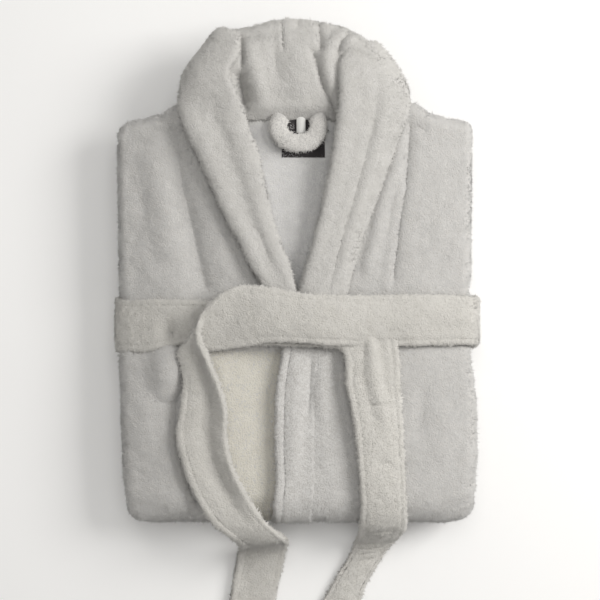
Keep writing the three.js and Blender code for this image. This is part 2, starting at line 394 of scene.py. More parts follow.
TONES = (0.975, 1.0, 1.025, 1.07, 1.13, 1.19)  # how light each yarn of one colour is
TONE_STEPS = (-0.55, 0.35, 1.5, 2.3, 3.1)  # the tuft values that part them


def yarns(name, color):
    """Close tones of one colour for the tufts of a pile, from the darkest up."""
    return [pile_yarn(f"{name}_{k}", tuple(c * tone for c in color)) for k, tone in enumerate(TONES)]


TERRY = terry("terry", (0.59, 0.58, 0.565), (0.54, 0.528, 0.51))
# The sash's terry is lighter than the fronts': a painted highlight for the light on the raised sash.
SASH = terry("terry_sash", (0.625, 0.61, 0.58), (0.57, 0.555, 0.52), pile=1.2)
# Cooler than the fronts, and lighter: the lightness is painted light that makes up for the shade in the neck
# opening.
INNER = terry("terry_inner", (0.71, 0.705, 0.695), (0.65, 0.645, 0.63), pile=0.7)
FRONT_YARNS = yarns("pile_front", (0.574, 0.567, 0.556))
COLLAR_YARNS = yarns("pile_collar", (0.582, 0.572, 0.550))
# Cooler than the fronts, and lighter: the lightness is painted light that makes up for the shade in the neck
# opening.
BACK_YARNS = yarns("pile_back", (0.662, 0.655, 0.658))
LOOP_YARNS = yarns("pile_loop", (0.72, 0.705, 0.68))
# The sash's yarn is lighter than the fronts': a painted highlight for the light on the raised sash.
SASH_YARNS = yarns("pile_sash", (0.618, 0.604, 0.575))
LABEL = ribbon_weave("label_satin", (0.016, 0.012, 0.014), 1500.0)
TAPE = ribbon_weave("white_tape", (0.85, 0.85, 0.83), 1200.0)


def add_piece(obj, material, body, *nodes, slot="terry"):
    """Gives a piece its material, the body it rides and the nodes that it replaces. slot is not used."""
    obj.data.materials.append(material)
    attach(obj, body)
    if nodes:
        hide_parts(*nodes)
    return obj


# ---- pile
TUFT_WIDTH = 1.2
TUFTS_IN_ONE = 48000  # most tufts in one piece
DENSITY = 0.48  # tufts on a square millimetre of terry
LEAN = 1.35  # how far they lean over
SWIRL = 11.0  # size of the patches that lean one way
ROOT = 0.5  # how deep they start in the cloth
LIT = np.array([0.0, 0.0, 0.3])  # turns their shading a little upwards


def facing_up(points, normals):
    """The usual weight of the pile: full where the cloth looks up, none where it looks down."""
    return smooth((normals[:, 2] + 0.35) / 0.3)


def read_quads(obj):
    """The points of a piece, in millimetres, and its four-cornered faces."""
    verts = np.empty(len(obj.data.vertices) * 3, np.float32)
    obj.data.vertices.foreach_get("co", verts)
    quads = np.empty(len(obj.data.loops), np.int32)
    obj.data.loops.foreach_get("vertex_index", quads)
    return verts.reshape(-1, 3).astype(float) / MM, quads.reshape(-1, 4)


def across(values, quads, s, t):
    """The values at the corners of each face, mixed for the place s, t on it."""
    mix = ((1 - s) * (1 - t), s * (1 - t), s * t, (1 - s) * t)
    return sum(w * values[quads[:, k]] for k, w in enumerate(mix))


def tuft_points(root, out, length, seed, rng):
    """The corners of closed four-sided tufts, three in the cloth and a tip, and their shading normals."""
    number = len(root)
    flow = np.stack([noise3(root, SWIRL, seed + k) for k in (1, 2, 3)], axis=1)
    flow = 1.3 * flow + 0.5 * rng.normal(size=(number, 3))
    flow -= out * np.sum(flow * out, axis=1, keepdims=True)
    way = unit(out + LEAN * flow)
    reach = length * (0.45 + 0.3 * rng.random((number, 1)) + 0.6 * rng.random((number, 1)) ** 5)
    side = unit(np.cross(way, rng.normal(size=(number, 3))))
    other = np.cross(way, side)
    radius = 0.6 * TUFT_WIDTH * (0.6 + 0.8 * rng.random((number, 1)))
    turns = (0.0, 2 * math.pi / 3, 4 * math.pi / 3)
    ring = [root - out * ROOT + radius * (side * math.cos(q) + other * math.sin(q)) for q in turns]
    points = np.stack([*ring, root + way * reach], axis=1)
    lit = out + LIT
    shade = np.stack([lit + 0.1 * side, lit - 0.05 * side, lit - 0.05 * side, lit + 0.15 * way], axis=1)
    return points.reshape(-1, 3), unit(shade).reshape(-1, 3)


def nap(source, density, length, seed, yarn, weight=facing_up, pale=None):
    """The pile that stands on a piece and leans the way its nap is brushed. density is the number of tufts
    on a square millimetre, weight(points, normals) thins them out, and pale(points) moves them towards the
    lighter yarns, which paints highlights on them. Where there are many tufts, they are made as several
    pieces."""
    verts, quads = read_quads(source)
    a, b, c, d = (verts[quads[:, k]] for k in range(4))
    cross = np.cross(c - a, d - b)
    size = np.linalg.norm(cross, axis=1)
    chance = size * weight((a + b + c + d) / 4, unit(cross))
    count = int(density * chance.sum() / 2)
    chance /= chance.sum()
    normals = vertex_normals(verts, quads)
    rng = np.random.default_rng(seed)
    made = []
    for part in range(math.ceil(count / TUFTS_IN_ONE)):
        number = min(TUFTS_IN_ONE, count - part * TUFTS_IN_ONE)
        corners = quads[rng.choice(len(quads), number, p=chance)]
        s, t = rng.random((2, number, 1))
        root = across(verts, corners, s, t)
        points, shade = tuft_points(root, unit(across(normals, corners, s, t)), length, seed, rng)
        first = 4 * np.arange(number)[:, None]
        sides = [first + np.array(corner) for corner in ((0, 1, 3), (1, 2, 3), (2, 0, 3), (0, 2, 1))]
        name = source.name + ("_pile" if part == 0 else f"_pile_{part + 1}")
        tufts = make_mesh(name, points, np.stack(sides, axis=1).reshape(-1, 3))
        for tone in yarn:
            tufts.data.materials.append(tone)
        tufts.data.normals_split_custom_set_from_vertices(shade)
        value = noise3(root, 24.0, seed + 7) * 0.25 + rng.normal(size=number) * 0.7
        # pale paints highlights: it moves these tufts to lighter yarns.
        if pale is not None:
            value += pale(root)
        choice = np.digitize(value, TONE_STEPS)
        tufts.data.polygons.foreach_set("material_index", np.repeat(choice, 4).astype(np.int32))
        tufts.visible_shadow = False
        made.append(tufts)
    return made


def grow_pile(source, body, length, seed, yarn, density=DENSITY, **options):
    """Pile on a piece that rides one body."""
    for tufts in nap(source, density, length, seed, yarn, **options):
        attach(tufts, body)


# ---- body
def body_path(step):
    """The bundle's outer face in the Y-Z plane, from the shoulder round the skirt fold and underneath to
    the hem: rows of (y, z, and the outward normal's y and z)."""
    pts = [(y, TOP, 0.0, 1.0) for y in np.arange(SHOULDER_Y, FOLD_Y, -step)]
    for a in np.linspace(math.pi / 2, 1.5 * math.pi, int(math.pi * FOLD_R / step)):
        ny, nz = math.cos(a), math.sin(a)
        pts.append((FOLD_Y + FOLD_R * ny, FOLD_R + FOLD_R * nz, ny, nz))
    coarse = step * 1.5
    pts += [(y, 0.0, 0.0, -1.0) for y in np.arange(FOLD_Y + coarse, HEM_Y, coarse)]
    for a in np.linspace(-math.pi / 2, math.pi / 2, int(math.pi * HEM_R / coarse)):
        ny, nz = math.cos(a), math.sin(a)
        pts.append((HEM_Y + HEM_R * ny, HEM_R + HEM_R * nz, ny, nz))
    pts += [(y, 2 * HEM_R, 0.0, 1.0) for y in np.arange(HEM_Y - coarse, HEM_Y - HEM_TUCK, -coarse)]
    return np.array(pts)


# In these tables LEFT is the -X side, which is the wearer's right. SHOULDER gives the top edge's Y for a
# distance from the middle, SIDE and NECK give an edge's X along Y, and FOLDS are as creases() takes them.
SHOULDER = [(0, 216), (118, 222), (124, 219), (137, 211), (157, 206.5), (171, 204.5), (178, 199), (184, 188)]
LEFT_SIDE = [(-206, 171), (-190, 174), (-153, 177), (-77, 179), (-34, 181), (-24, 178), (24, 178), (34, 181),
             (230, 182)]
RIGHT_SIDE = [(-206, 177), (-173, 181), (-141, 183), (-90, 182), (-27, 176), (0, 179), (23, 179), (30, 174),
              (60, 176), (230, 177)]


def plan_shift(x, y, on_top):
    """Moves the straight ends of the bundle to the real outline: sloping shoulders, rounded corners."""
    radius = 36
    corner_x = 146
    ax = np.abs(x)
    end = table(ax, SHOULDER)
    rise = np.where(on_top, (end - SHOULDER_Y) * smooth((y - 110) / 96), 0)
    out = np.clip(ax - corner_x, 0, radius)
    corner = radius - np.sqrt(radius**2 - out**2)
    pull = 1 - corner * 0.62 / (-FOLD_Y + FOLD_R - 100)
    low = np.where(y < -100, -100 + (y + 100) * pull - y, 0)
    return y + rise + low


LEFT_FOLDS = [
    (-6.5, 8, 17, 0.1, [(-121, 212), (-117, 153), (-107, 103), (-97, 57), (-89, 24)]),
    (2.8, 16, 12, 0.2, [(-142, 200), (-139, 150), (-132, 100), (-122, 50)]),
    (2.2, 8, 8, 0.3, [(-96, 160), (-86, 110), (-74, 62), (-64, 34)]),
    (-2.2, 10, 12, 0.4, [(-163, 150), (-150, 120), (-158, 90)]),
    (1.6, 8, 8, 0.4, [(-176, 165), (-160, 172), (-140, 160)]),
    (1.5, 9, 9, 0.4, [(-170, 75), (-150, 60), (-135, 35)]),
    (-9.0, 7, 7, 0.12, [(-117, -22), (-115, -55), (-122, -87), (-120, -127), (-109, -167), (-95, -204)]),
    (-2.5, 6, 8, 0.3, [(-140, -85), (-134, -78), (-124, -82)]),
    (2.0, 12, 12, 0.4, [(-160, -60), (-152, -110), (-150, -160)]),
    (1.4, 1.8, 1.8, 0.4, [(-82, -30), (-78, -48), (-72, -64)]),
    (1.2, 1.8, 1.8, 0.4, [(-77, -30), (-74, -45), (-69, -58)]),
]
RIGHT_FOLDS = [
    (3.2, 6, 5, 0.12, [(107, 208), (100, 160), (87, 124), (79, 87), (66, 40)]),
    (2.6, 5, 5, 0.2, [(107, 160), (100, 112), (93, 60), (88, 28)]),
    (-4.0, 5, 11, 0.12, [(113, 216), (111, 156), (102, 98), (94, 26)]),
    (-2.0, 4, 6, 0.3, [(116, 203), (124, 196), (134, 193)]),
    (1.4, 9, 9, 0.4, [(172, 120), (150, 105), (134, 70)]),
    (-1.4, 8, 10, 0.4, [(165, 80), (145, 60), (130, 25)]),
    (3.2, 7, 7, 0.25, [(2, -24), (0, -60), (-3, -110), (-4, -170)]),
    (-2.4, 4, 4, 0.3, [(14, -26), (13, -60), (11, -100)]),
    (3.0, 7, 7, 0.3, [(27, -26), (27, -60), (22, -105)]),
    (-2.5, 15, 14, 0.12, [(40, -20), (44, -80), (54, -140), (56, -212)]),
    (-2.4, 10, 10, 0.35, [(128, -50), (124, -90), (118, -140)]),
    (1.8, 10, 10, 0.35, [(172, -90), (150, -110), (138, -150)]),
    (-1.6, 8, 8, 0.35, [(178, -60), (160, -75), (146, -95)]),
]


def top_height(x, y, folds):
    """Height of the bundle's front above its flat outer face: lower at the sides, under the sash and at the
    middle."""
    ax = np.abs(x)
    h = -1.0 - np.where(x < 0, 12.0, 8.5) * smooth((ax - 112) / 78)
    h -= (3.5 + 3.2 * smooth((-118 - x) / 26)) * np.exp(-((y / 27) ** 4))
    h -= 2.5 * smooth((40 - ax) / 40)
    return h + creases(x, y, folds)


def left_height(x, y):
    """The wearer's right front, with a sunken strip between the sash ends."""
    h = top_height(x, y, LEFT_FOLDS)
    below = smooth((-18 - y) / 14)
    h += below * mound(x, y, -130, -45, 12, 24, 7.5)
    strip = below * smooth((x + 92) / 14)
    slope = -1 - 9.5 * smooth((x + 84) / 60)
    return h * (1 - strip) + (slope + creases(x, y, LEFT_FOLDS[-2:])) * strip


def right_height(x, y):
    """The wearer's left front."""
    return top_height(x, y, RIGHT_FOLDS)


NECK_LEFT = [(-230, 22), (20, 20), (30, 4), (57, -10), (95, -38), (141, -50), (190, -54), (230, -56)]
NECK_RIGHT = [(-230, -14), (16, -14), (30, 12), (49, 18), (98, 31), (147, 40), (230, 46)]


EDGE_THICK = 9.0  # a front, at its front edge
SIDE_BULK = 17.0  # what the turned-in skirt adds towards the sides
SKIN = 0.8  # how far the cloth stays inside the outer face, for the pile


def body_panel(sign, height, centre, side):
    """Half of the bundle, from the shoulder round the skirt fold to the hem: its middle surface and half
    thickness. sign is -1 for the wearer's right. Towards the sides the layers fill the skirt fold."""
    width = 180
    y0, z0, ny, nz = body_path(2.0).T
    v, full_v = rounded(width, EDGE_THICK / 2, 2.1, 7, last_radius=13)
    on_top = (nz > 0.999) & (z0 > 50)
    inner = np.where(z0 > 20, np.interp(y0, *zip(*centre)), centre[0][1])
    outer = sign * (table(y0, side) - 2 * smooth((FOLD_R - z0) / 24))
    x = inner[:, None] + (outer - inner)[:, None] * (v / width)
    y = plan_shift(x, y0[:, None], on_top[:, None])
    lift = height(x, y) * (smooth(nz) * (z0 > 36))[:, None]
    lift = lift - ((np.abs(x) < 30) & (~on_top & (z0 < 50))[:, None])

    thin_hem = np.where(z0 > FOLD_R, 1 - 0.4 * smooth((y0 - 100) / 100), 1 - smooth((y0 - 70) / 70) * 0.85)
    thin_hem = np.where((y0 > HEM_Y - 45) & (z0 < 2 * HEM_R + 1), 0.15, thin_hem)
    bulk = smooth((np.abs(x) - 90) / 60)
    thick = EDGE_THICK + SIDE_BULK * bulk * thin_hem[:, None]
    fold = bulk * smooth((FOLD_Y + 25 - y0) / 25)[:, None]
    thick = thick * (1 - fold) + (FOLD_R - SKIN + lift) * fold
    sink = thick / 2 - lift + SKIN
    m = np.stack([x, y - sink * ny[:, None], z0[:, None] - sink * nz[:, None]], axis=-1)
    return m, thick / 2 * closed_ends(len(y0), 6)[:, None] * full_v


def strip(p):
    """1 on the strip of the under front that shows between the sash ends, below the strap."""
    return smooth((p[:, 0] + 92) / 8) * smooth((-24 - p[:, 1]) / 8)


def calm_strip(p):
    """The strip is smoother than the rest."""
    return 1 - 0.72 * strip(p) * (p[:, 2] > 30)


def warm_strip(p):
    """The strip is creamier than the rest."""
    return 0.9 * strip(p) * (p[:, 2] > 20)


right_front = cloth(
    "right_front", *body_panel(-1, left_height, NECK_LEFT, LEFT_SIDE), 0.9, 11,
    calm=calm_strip, warm=warm_strip, flip=True,
)
left_front = cloth("left_front", *body_panel(1, right_height, NECK_RIGHT, RIGHT_SIDE), 0.9, 23)
add_piece(right_front, TERRY, "robe", "right_front_panel")
add_piece(left_front, TERRY, "robe", "left_front_panel")


# ---- inside of the back
def flat_slab(name, x0, x1, y0, y1, z0, z1, *, step, amount, seed):
    """A rectangular piece of cloth between two heights."""
    x, y, half = slab_grid(x0, x1, y0, y1, (z1 - z0) / 2, step)
    m = np.stack([x, y, np.full(x.shape, (z0 + z1) / 2)], axis=-1)
    return cloth(name, m, half, amount, seed)


def back_panel():
    """The back, whose top corners slope like the shoulders."""
    x, y, half = slab_grid(-152, 152, -160, 209, 2.4, 2.2)
    y = y - 14.0 * smooth((np.abs(x) - 80) / 70) * smooth((y - 60) / 140)
    return cloth("back_cloth", np.stack([x, y, 50.1 + neck_dish(x, y)], axis=-1), half, 0.35, 31)


def neck_dish(x, y):
    """The back seen through the neck opening lies a little higher than between the fronts."""
    rise = 6.2 * (1 - smooth((np.abs(x) - 34) / 30)) * smooth((y - 20) / 60)
    return rise + creases(x, y, [(0.8, 6, 6, 0.3, [(-8, 150), (-4, 100), (2, 60)])])


back = add_piece(back_panel(), INNER, "robe", "back_panel")


# ---- sleeves, inside the bundle
def sleeve(side, sign):
    """A sleeve pressed flat and folded back once."""
    thick = 5.2
    fold_y, fold_z, fold_r = -156, 41, 2.9
    path = [(y, 43.8) for y in np.arange(190, fold_y, -4)]
    path += [(fold_y + fold_r * math.cos(a), fold_z + fold_r * math.sin(a)) for a in np.linspace(1.7, 4.6, 8)]
    path += [(y, 38.2) for y in np.arange(fold_y + 2, -50, 4)]
    y0, z0 = np.array(path).T
    v, full_v = rounded(138, thick / 2, 4)
    x, y = np.meshgrid(sign * (22 + v), y0)
    m = np.stack([x, y, z0[:, None] + 0.6 * np.sin(x / 19)], axis=-1)
    full = np.ones(len(path))
    full[[0, 1, -2, -1]] = (0, 0.8, 0.8, 0)
    half = thick / 2 * full[:, None] * full_v
    piece = cloth(f"{side}_sleeve_cloth", m, half, 0.35, 41 + sign, flip=sign < 0)
    return add_piece(piece, TERRY, "robe", f"{side}_sleeve")


right_sleeve = sleeve("right", -1)
left_sleeve = sleeve("left", 1)
for side, sign in (("right", -1), ("left", 1)):
    xs = sorted((sign * 28, sign * 160))
    cuff = flat_slab(f"{side}_cuff_cloth", *xs, -49, 40, 35.6, 40.4, step=4, amount=0.35, seed=47 + sign)
    add_piece(cuff, TERRY, "robe", f"{side}_cuff")


# ---- shawl collar
def bump_at(u, where, width):
    """A rounded ridge of height 1 across a strip."""
    return np.exp(-(((u - where) / width) ** 2))


RIGHT_COLLAR = [
    (7, -14, 62, -24, -14, 62), (4, 10, 64, -26, 10, 63), (-1, 33, 66, -31, 32, 66),
    (-8, 57, 67.5, -46, 57, 67), (-17, 80, 68.5, -56, 80, 68), (-25, 105, 69.5, -70, 104, 68.5),
    (-33, 140, 70.5, -86, 138, 69), (-39, 168, 71.5, -100, 170, 69), (-48, 194, 73, -113, 197, 69),
    (-54, 214, 76, -118, 214, 65), (-59, 227, 79, -117, 230, 60), (-65, 241, 80, -113, 244, 54),
    (-67, 251, 80, -106, 254, 51), (-61, 262, 80, -98, 263, 49.5), (-57, 272, 78, -89, 273, 49),
    (-58, 281, 74, -80, 282, 49.5), (-62, 288, 66, -72, 288, 52), (-65, 292, 60, -68, 291, 56),
]


def right_collar_crown(t, u):
    """A broad roll that comes down to the neck on its inner side, a shallow trough, and a full outer edge.
    Higher up it becomes one big roll that drops steeply on its outer side."""
    lapel = smooth((t - 0.1) / 0.12) * smooth((0.62 - t) / 0.15)
    h = 3.0 * np.sin(np.pi * np.clip(u, 0, 1)) ** 0.7
    h += lapel * (2.2 * bump_at(u, 0.2, 0.16) - 1.2 * bump_at(u, 0.45, 0.14) + 3.4 * bump_at(u, 0.83, 0.16))
    h += smooth((t - 0.5) / 0.2) * 20.0 * (u - np.clip(u, 0, 1) ** 4) * smooth((1.02 - t) / 0.15)
    return -h


LEFT_COLLAR = [
    (-2, -14, 62, 50, -14, 62), (1, 10, 65, 49, 10, 64), (4, 33, 69, 49, 30, 67),
    (10, 58, 71, 57, 55, 67.5), (18, 88, 73, 66, 88, 68), (25, 118, 75, 77, 118, 68),
    (32, 152, 77, 90, 154, 68.5), (37, 180, 78, 101, 183, 69), (41, 207, 79, 111, 210, 69),
    (42, 228, 79, 112, 230, 62), (42, 246, 78, 104, 246, 54), (43, 261, 74, 94, 260, 50),
    (49, 270, 70, 86, 269, 49.5), (58, 276, 65, 78, 276, 50), (66, 280, 59, 71, 280, 54),
]


def left_collar_crown(t, u):
    """Steep at the inner roll, then a long even fall with two soft creases towards the outer edge."""
    lapel = smooth((t - 0.1) / 0.15) * smooth((0.75 - t) / 0.25)
    h = 4.0 * np.sin(np.pi * np.clip(u, 0, 1)) ** 0.6
    h += lapel * (2.4 * bump_at(u, 0.1, 0.14) - 1.6 * bump_at(u, 0.62 - 0.2 * t, 0.07))
    h += lapel * (1.4 * bump_at(u, 0.76 - 0.2 * t, 0.06) - 1.8 * bump_at(u, 0.9, 0.07))
    h += smooth((t - 0.58) / 0.2) * 17.0 * (u - np.clip(u, 0, 1) ** 4) * smooth((1.02 - t) / 0.2)
    return h


COLLAR_THICK = 10.0


def collar_half(name, rows, crown, seed, node_name):
    """One lapel, up to the shoulder seam."""
    piece = cloth(name, *ribbon(rows, COLLAR_THICK, 1.5, crown, rim=6), 0.95, seed)
    return add_piece(piece, TERRY, "robe", node_name)


right_collar = collar_half("right_collar", RIGHT_COLLAR, right_collar_crown, 53, "right_upper_collar")
left_collar = collar_half("left_collar", LEFT_COLLAR, left_collar_crown, 59, "left_upper_collar")

BACK_RIM = [(-80, 281), (-64, 294), (-44, 298), (-27, 303), (-11, 306), (6, 305), (22, 303), (47, 297),
            (64, 288), (78, 277), (92, 262)]
BACK_FOLDS = [
    (-9.0, 3, 3, 0.2, [(-57, 290), (-54, 270), (-55, 254)]),
    (-13.0, 8, 8, 0.25, [(-60, 258), (-57, 242), (-54, 226), (-51, 208)]),
    (3.4, 8, 6, 0.25, [(-51, 286), (-45, 263), (-37, 233), (-31, 212)]),
    (-2.6, 7, 7, 0.3, [(-25, 300), (-22, 270), (-20, 250), (-20, 236)]),
    (-2.4, 1.8, 1.8, 0.3, [(-16, 304), (-14, 285), (-13, 268)]),
    (2.0, 10, 10, 0.3, [(0, 282), (2, 250), (3, 212)]),
    (-3.0, 4, 4, 0.4, [(0, 312), (0, 290)]),
    (-4.5, 4, 4, 0.3, [(20, 310), (23, 286), (26, 266)]),
    (-6.5, 6, 2.8, 0.15, [(11, 278), (19, 258), (25, 238), (33, 222), (41, 206)]),
    (4.0, 5, 5, 0.2, [(52, 298), (41, 286), (33, 275), (30, 262), (33, 240), (38, 218)]),
    (-3.4, 2.5, 3, 0.25, [(56, 292), (45, 279), (38, 266)]),
    (2.5, 3, 3, 0.3, [(64, 288), (52, 281), (43, 272)]),
]


def collar_back():
    """The standing back of the collar, whose +X end laps over the top of the left lapel's roll."""
    seam_y, across_it = 204, 100
    x, run, half = slab_grid(-82, 92, 0, across_it, 4.0, 1.5)
    t = run / across_it
    y = seam_y + (np.interp(x, *zip(*BACK_RIM)) - seam_y) * t
    base = table(t, [(0, 57), (0.16, 67), (0.45, 71), (0.76, 69), (0.9, 63), (1, 53)])
    lapped = 56 + 17 * smooth((y - 252) / 14) - 20 * smooth((t - 0.82) / 0.18)
    right_end = smooth((x - 40) / 16)
    z = base * (1 - right_end) + lapped * right_end + creases(x, y, BACK_FOLDS)
    return cloth("collar_back", np.stack([x, y, z], axis=-1), half, 0.8, 67)


dome = add_piece(collar_back(), TERRY, "robe")

UNDER_COLLAR = [
    (-4, 20, 62, -22, 20, 62), (-32, 90, 63, -52, 92, 63), (-48, 175, 64, -90, 176, 64),
    (-62, 205, 62, -104, 212, 60), (-60, 222, 56, -100, 246, 48), (-30, 222, 55, -62, 280, 45),
    (-4, 222, 55, -8, 296, 45), (18, 222, 55, 42, 286, 45), (40, 222, 56, 84, 254, 47),
    (50, 204, 62, 97, 212, 60), (42, 175, 64, 88, 178, 64), (28, 96, 64, 56, 98, 64),
    (10, 20, 63, 40, 20, 62),
]
under_collar = cloth("under_collar", *ribbon(UNDER_COLLAR, 4.5, 2.4), 0.5, 71)
add_piece(under_collar, TERRY, "robe", "left_under_collar", "right_under_collar")


# ---- front bands and pockets
def sash_press(y):
    """How far the sash that passes underneath presses the cloth in."""
    return 5.6 * smooth((42 - np.abs(y)) / 9)


def band(name, edge, raised, amount, seed, *, width, thick, start_y, spare, step, rim):
    """A strip along the bundle's outer face, from start_y on the front round the skirt fold to spare rows
    before the path's end. edge(y, z) is its inner edge in X, and raised(u, y, z, front) is how far its outer
    side stands out of that face at u across it. front is 1 on the bundle's front and 0 elsewhere."""
    path = body_path(step)
    first = int(np.argmin(np.abs(path[:, 0] - start_y) + 1e3 * (path[:, 1] < 50)))
    y0, z0, ny, nz = path[first:-spare].T
    u, full_u = rounded(width, thick / 2, step, rim)
    x = edge(y0, z0)[:, None] + u
    y = plan_shift(x, y0[:, None], np.zeros((len(y0), 1), bool))
    front = (smooth(nz) * (z0 > 40))[:, None]
    lift = right_height(x, y) * front + raised(u, y, z0[:, None], front)
    sink = thick / 2 - lift
    m = np.stack([x, y - sink * ny[:, None], z0[:, None] - sink * nz[:, None]], axis=-1)
    return cloth(name, m, thick / 2 * closed_ends(len(y0), 3)[:, None] * full_u, amount, seed)


BAND_EDGE = [(-230, -26), (-205, -25), (-157, -21), (-127, -22), (-67, -21), (-27, -15), (40, -4)]


def overlap_edge(y, z):
    """The edge of the overlapping front, and straight underneath."""
    return np.where(z > 30, np.interp(y, *zip(*BAND_EDGE)), -25)


def overlap_raised(u, y, z, front):
    """Raised along its edge, where a line of stitching pulls a groove into it."""
    stitch = 1.6 * np.exp(-(((u - 8.5) / 1.5) ** 2)) * (1 - smooth((u - 20) / 8))
    return 4.0 * (1 - smooth((u - 6) / 34)) * front - stitch - sash_press(y) * (z < 20)


overlap_band = band(
    "overlap_band", overlap_edge, overlap_raised, 0.8, 83,
    width=40, thick=7.0, start_y=12, spare=24, step=1.5, rim=5,
)
add_piece(overlap_band, TERRY, "robe", "left_front_band")
hidden_band = band(
    "hidden_band", lambda y, z: np.full(len(y), -4.0), lambda u, y, z, front: -11.5, 0.3, 89,
    width=32, thick=3.0, start_y=-8, spare=30, step=3.0, rim=4,
)
add_piece(hidden_band, TERRY, "robe", "right_front_band")


def pocket(side, seed):
    """A patch pocket under the bundle, where the frame has it, with a line of stitching at its mouth."""
    (x0, y0, _), (x1, y1, _) = (np.array(corner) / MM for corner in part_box(f"{side}_pocket"))
    x, y, half = slab_grid(x0, x1, y0, y1, 1.8, 2.2)
    z = 2.0 + sash_press(y) + 0.3 * np.sin(x / 13.0)
    z += 0.5 * np.exp(-(((y1 - 28 - y) / 1.4) ** 2))
    piece = cloth(f"{side}_pocket_cloth", np.stack([x, y, z], axis=-1), half, 0.25, seed)
    add_piece(piece, TERRY, "robe", f"{side}_pocket")


pocket("left", 97)
pocket("right", 101)

# ---- sash
SASH_WIDTH = 54.0
SASH_THICK = 6.4


def underneath(sign):
    """The rows of one half of the sash under the bundle, from its side to its middle."""
    half = SASH_WIDTH / 2
    return [(sign * x, half, z, sign * x, -half, z) for x, z in ((176, 4.2), (150, 3.2), (80, 3.2), (1, 3.2))]


SASH_OVER = [  # the half that crosses on top: its raised rim and its other edge, from its free end
    (-34, -370, 4.5, -84, -366, 4.5), (-31, -330, 4.5, -76, -328, 4.5), (-24, -290, 4.5, -69, -290, 4.5),
    (-16, -258, 5, -65, -262, 5), (-12, -236, 9, -61, -240, 9), (-10, -226, 26, -59, -228, 24),
    (-10, -221, 46, -58, -223, 43), (-12, -217, 58, -60, -218, 54), (-22, -208, 66, -72, -209, 62),
    (-34, -196, 70, -88, -195, 65), (-53, -167, 74, -104, -168, 66), (-66, -138, 76, -114, -140, 66),
    (-70, -112, 78, -120, -112, 65.5), (-70, -88, 80, -117, -90, 65), (-77, -62, 81, -113, -68, 64.5),
    (-88, -36, 83, -115, -46, 64.5), (-96, -14, 85, -119, -32, 65), (-93, 6, 86, -112, -27, 66),
    (-82, 23, 86, -98, -27, 67), (-66, 34, 85, -78, -27, 69), (-48, 38, 83, -56, -24, 72),
    (-20, 34, 81, -26, -19, 76), (10, 29, 79, 8, -20, 77), (35, 28, 76, 35, -22, 75),
    (60, 27, 72, 60, -23, 71), (90, 28, 68, 90, -23, 67), (120, 28, 65.5, 120, -23, 65),
    (152, 28, 61, 152, -22, 60.5), (170, 27, 56, 170, -22, 56), (180, 26, 47, 180, -23, 47),
    (182.5, 26, 32, 182.5, -24, 32), (181, 26, 12, 181, -26, 12), *underneath(1),
]
SASH_UNDER = [  # the half that crosses beneath, from its free end
    (44, -375, 4.5, -3, -368, 4.5), (57, -325, 4.5, 10, -318, 4.5), (69, -280, 4.5, 32, -282, 4.5),
    (81, -256, 5, 46, -258, 5), (92, -238, 7, 56, -240, 7), (102, -224, 15, 61, -226, 14),
    (107, -215, 32, 64, -216, 32), (110, -206, 50, 64, -206, 50), (110, -193, 62, 64, -192, 62),
    (109, -168, 66, 63, -166, 69), (107, -128, 66.5, 60, -126, 70.5), (106, -104, 67, 57, -100, 71.5),
    (104, -77, 67.5, 53, -82, 72), (103, -52, 68, 49, -62, 72), (102, -32, 68, 48, -38, 72),
    (98, -12, 68, 44, -27, 70), (84, 4, 67, 30, -25, 69), (56, 14, 67, 8, -24, 68),
    (10, 18, 68, -20, -23, 68.5), (-50, 20, 68, -60, -20, 69), (-90, 22, 65.5, -100, -19, 66),
    (-122, 23, 61, -126, -24, 63.5), (-150, 24, 54, -150, -29, 56.5), (-170, 24, 46.5, -170, -30, 48.5),
    (-180, 24, 40, -180, -30, 41), (-182.5, 25, 32, -182.5, -29, 32), (-181, 26, 12, -181, -27, 12),
    *underneath(-1),
]


def edge_stitch(u):
    """1 on the two lines of stitching along the edges of the sash, 0 away from them."""
    return [np.exp(-(((run * SASH_WIDTH - 7) / 1.5) ** 2)) for run in (u, 1 - u)]


def over_crown(t, u):
    """Plump across the front, where it is squeezed into small cross wrinkles. The free end shows its other
    side, so the sheet's normal points down there: it falls steeply from its raised rim into a hollow."""
    rim_line, edge_line = edge_stitch(u)
    tail = smooth((0.44 - t) / 0.06)
    fall = smooth((t - 0.24) / 0.06) * smooth((0.48 - t) / 0.05)
    strap = smooth((t - 0.54) / 0.05) * smooth((0.84 - t) / 0.04)
    middle = np.sin(np.pi * u)
    h = strap * 4.2 * middle**0.8
    wrinkle = np.sin(95 * t + 2.2 * np.sin(5 * u + 40 * t)) * middle**2
    h += strap * 0.55 * wrinkle * smooth((t - 0.6) / 0.06)
    h += fall * 8.5 * bump_at(u, 0.4, 0.24) - tail * (1.0 * middle + 2.2 * bump_at(u, 0.93, 0.08))
    return h + (tail - strap) * (0.8 * edge_line + 0.4 * rim_line)


def under_crown(t, u):
    """Gathered where it comes out from under the other strap, then settling flat."""
    middle = np.sin(np.pi * u)
    h = 2.6 * middle * smooth((0.62 - t) / 0.1)
    gather = smooth((t - 0.33) / 0.1) * smooth((0.54 - t) / 0.05)
    bend = 13 * u + 6 * t + 1.6 * np.sin(21 * t + 2 * u)
    h += gather * (1.7 * np.sin(bend) + 0.8 * np.sin(1.9 * bend + 12 * t)) * middle
    ripple = smooth((t - 0.07) / 0.03) * smooth((0.26 - t) / 0.04)
    inside = np.sin(np.pi * np.clip(1.25 * u - 0.12, 0, 1)) ** 2
    h += ripple * np.sin(t * 300 + 5 * u + 2.0 * np.sin(90 * t)) * inside
    for where, side in ((0.31, 0.45), (0.385, 0.5)):
        curve = where + 0.012 * np.cos(4 * (u - side))
        h -= 1.8 * bump_at(t, curve, 0.004) * bump_at(u, side, 0.2)
    return -h + 0.7 * sum(edge_stitch(u))


